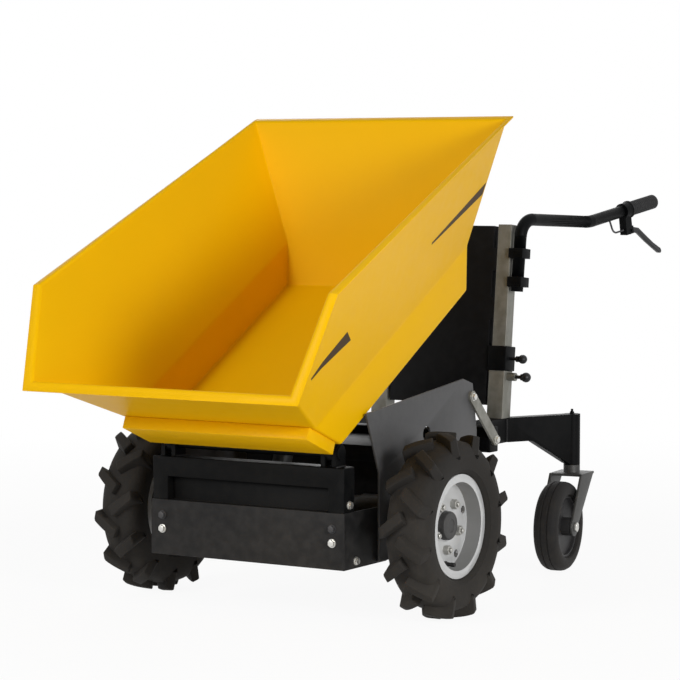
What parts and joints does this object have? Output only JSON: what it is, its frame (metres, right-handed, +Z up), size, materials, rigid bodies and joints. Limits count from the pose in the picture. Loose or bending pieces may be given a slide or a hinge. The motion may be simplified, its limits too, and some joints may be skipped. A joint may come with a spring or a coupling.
{
  "type": "concrete buggy",
  "caption": "Walk-behind battery concrete buggy with a tipping yellow tub, lugged drive wheels, swivel casters, a height-set handle and hand levers.",
  "frame": {"origin": "on the ground, under the middle of the overall box", "axes": "+Z up; the front, with the lip of the tub, faces -Y and the handle is at +Y; +X is to the right as seen from the front, and the names left and right follow that view"},
  "size_m": [0.866, 1.8404, 1.1103],
  "materials": {
    "frame_black": "satin black paint",
    "tub_yellow": "gloss golden yellow paint",
    "zinc_grey": "dull zinc plating",
    "rim_silver": "silver paint",
    "bolt_steel": "bright zinc plating",
    "tyre_black": "dull moulded rubber",
    "caster_rubber": "dull moulded rubber",
    "caster_plastic": "moulded dark grey plastic",
    "soft_black": "soft black rubber",
    "knob_black": "moulded black plastic",
    "box_grey": "textured dark paint",
    "panel_grey": "moulded grey plastic",
    "battery_black": "moulded battery case",
    "motor_grey": "dark motor paint",
    "stop_red": "gloss red plastic",
    "rod_chrome": "hard chrome plating"
  },
  "bodies": {
    "chassis": {"chassis_frame": "frame_black", "front_cover": "frame_black", "cover_bolts": "bolt_steel", "side_plate_left": "frame_black", "side_plate_right": "frame_black", "battery_box": "box_grey", "battery_lid": "box_grey", "batteries": "battery_black", "drive_motor_left": "motor_grey", "drive_motor_right": "motor_grey", "hinge_shaft": "frame_black", "ram_foot_pin": "bolt_steel", "tub_buffers": "soft_black", "rear_braces": "zinc_grey", "caster_arm_left": "frame_black", "caster_arm_right": "frame_black", "sleeve_left": "zinc_grey", "sleeve_right": "zinc_grey", "collar_left": "frame_black", "collar_right": "frame_black"},
    "tub": {"tub_shell": "tub_yellow", "nose_channel": "tub_yellow", "hinge_lugs": "frame_black", "floor_ribs": "tub_yellow", "ram_lug": "tub_yellow"},
    "handle": {"handle_uprights": "zinc_grey", "control_box": "box_grey", "control_panel": "panel_grey", "handlebar_left": "frame_black", "handlebar_right": "frame_black", "bar_clamps": "frame_black", "grip_left": "soft_black", "grip_right": "soft_black", "lever_bracket_left": "frame_black", "lever_bracket_right": "frame_black", "lever_cables": "soft_black"},
    "stop_button": {"stop_button": "stop_red"},
    "key_switch": {"key_switch": "bolt_steel"},
    "ram_barrel": {"ram_barrel": "motor_grey"},
    "ram_rod": {"ram_rod": "rod_chrome"},
    "wheel_left": {"tyre_left": "tyre_black", "rim_left": "rim_silver", "hub_left": "bolt_steel"},
    "caster_left": {"caster_fork_left": "zinc_grey", "caster_axle_left": "bolt_steel"},
    "caster_wheel_left": {"caster_tyre_left": "caster_rubber", "caster_centre_left": "caster_plastic"},
    "lever_left": {"lever_left": "knob_black"},
    "clamp_knob_left": {"clamp_knob_left": "knob_black"},
    "plunger_left": {"plunger_left": "knob_black"},
    "wheel_right": {"tyre_right": "tyre_black", "rim_right": "rim_silver", "hub_right": "bolt_steel"},
    "caster_right": {"caster_fork_right": "zinc_grey", "caster_axle_right": "bolt_steel"},
    "caster_wheel_right": {"caster_tyre_right": "caster_rubber", "caster_centre_right": "caster_plastic"},
    "lever_right": {"lever_right": "knob_black"},
    "clamp_knob_right": {"clamp_knob_right": "knob_black"},
    "plunger_right": {"plunger_right": "knob_black"}
  },
  "joints": [
    {"name": "tub_tip", "type": "hinge", "parent": "chassis", "child": "tub", "pos_m": [0, -0.55694, 0.3755], "axis": [1, 0, 0], "range_deg": [-29.3, 40]},
    {"name": "handle_height", "type": "slide", "parent": "chassis", "child": "handle", "axis": [0, 0.1045, 0.9945], "range_m": [-0.009, 0.06]},
    {"name": "stop_press", "type": "slide", "parent": "handle", "child": "stop_button", "axis": [0, -0.9945, 0.1045], "range_m": [0, 0.006], "stiffness_N_per_m": 800, "springref_m": -0.003},
    {"name": "key_turn", "type": "hinge", "parent": "handle", "child": "key_switch", "pos_m": [-0.05905, 0.40561, 0.72796], "axis": [0, 0.9945, -0.1045], "range_deg": [0, 90]},
    {"name": "ram_swing", "type": "hinge", "parent": "chassis", "child": "ram_barrel", "pos_m": [0, -0.51244, 0.166], "axis": [1, 0, 0], "range_deg": [-14.7, 20.05]},
    {"name": "ram_extend", "type": "slide", "parent": "ram_barrel", "child": "ram_rod", "axis": [0, 0.423, 0.9061], "range_m": [-0.0612, 0.0834]},
    {"name": "wheel_spin_left", "type": "hinge", "parent": "chassis", "child": "wheel_left", "pos_m": [-0.381, -0.36244, 0.20603], "axis": [1, 0, 0], "continuous": true},
    {"name": "caster_swivel_left", "type": "hinge", "parent": "chassis", "child": "caster_left", "pos_m": [-0.269, 0.47656, 0.3], "axis": [0, 0, 1], "continuous": true},
    {"name": "caster_spin_left", "type": "hinge", "parent": "caster_left", "child": "caster_wheel_left", "pos_m": [-0.28046, 0.38327, 0.11], "axis": [0.9925, -0.1219, 0], "continuous": true},
    {"name": "lever_squeeze_left", "type": "hinge", "parent": "handle", "child": "lever_left", "pos_m": [-0.27773, 0.77768, 0.83035], "axis": [0.9869, 0.1616, 0], "range_deg": [0, 26], "stiffness_Nm_per_rad": 1, "springref_deg": -22.92},
    {"name": "clamp_turn_left", "type": "hinge", "parent": "chassis", "child": "clamp_knob_left", "pos_m": [-0.2, 0.29783, 0.5252], "axis": [-1, 0, 0], "range_deg": [0, 270]},
    {"name": "plunger_pull_left", "type": "slide", "parent": "chassis", "child": "plunger_left", "axis": [-1, 0, 0], "range_m": [0, 0.008], "stiffness_N_per_m": 600, "springref_m": -0.006},
    {"name": "wheel_spin_right", "type": "hinge", "parent": "chassis", "child": "wheel_right", "pos_m": [0.381, -0.36244, 0.20603], "axis": [1, 0, 0], "continuous": true},
    {"name": "caster_swivel_right", "type": "hinge", "parent": "chassis", "child": "caster_right", "pos_m": [0.269, 0.47656, 0.3], "axis": [0, 0, 1], "continuous": true},
    {"name": "caster_spin_right", "type": "hinge", "parent": "caster_right", "child": "caster_wheel_right", "pos_m": [0.28046, 0.38327, 0.11], "axis": [0.9925, 0.1219, 0], "continuous": true},
    {"name": "lever_squeeze_right", "type": "hinge", "parent": "handle", "child": "lever_right", "pos_m": [0.27773, 0.77768, 0.83035], "axis": [0.9869, -0.1616, 0], "range_deg": [0, 26], "stiffness_Nm_per_rad": 1, "springref_deg": -22.92},
    {"name": "clamp_turn_right", "type": "hinge", "parent": "chassis", "child": "clamp_knob_right", "pos_m": [0.2, 0.29783, 0.5252], "axis": [1, 0, 0], "range_deg": [0, 270]},
    {"name": "plunger_pull_right", "type": "slide", "parent": "chassis", "child": "plunger_right", "axis": [1, 0, 0], "range_m": [0, 0.008], "stiffness_N_per_m": 600, "springref_m": -0.006}
  ],
  "couplings": [
    {"joint": "ram_swing", "follows": "tub_tip", "ratio": 0.5},
    {"joint": "ram_extend", "follows": "tub_tip", "m_per_rad": 0.119}
  ]
}
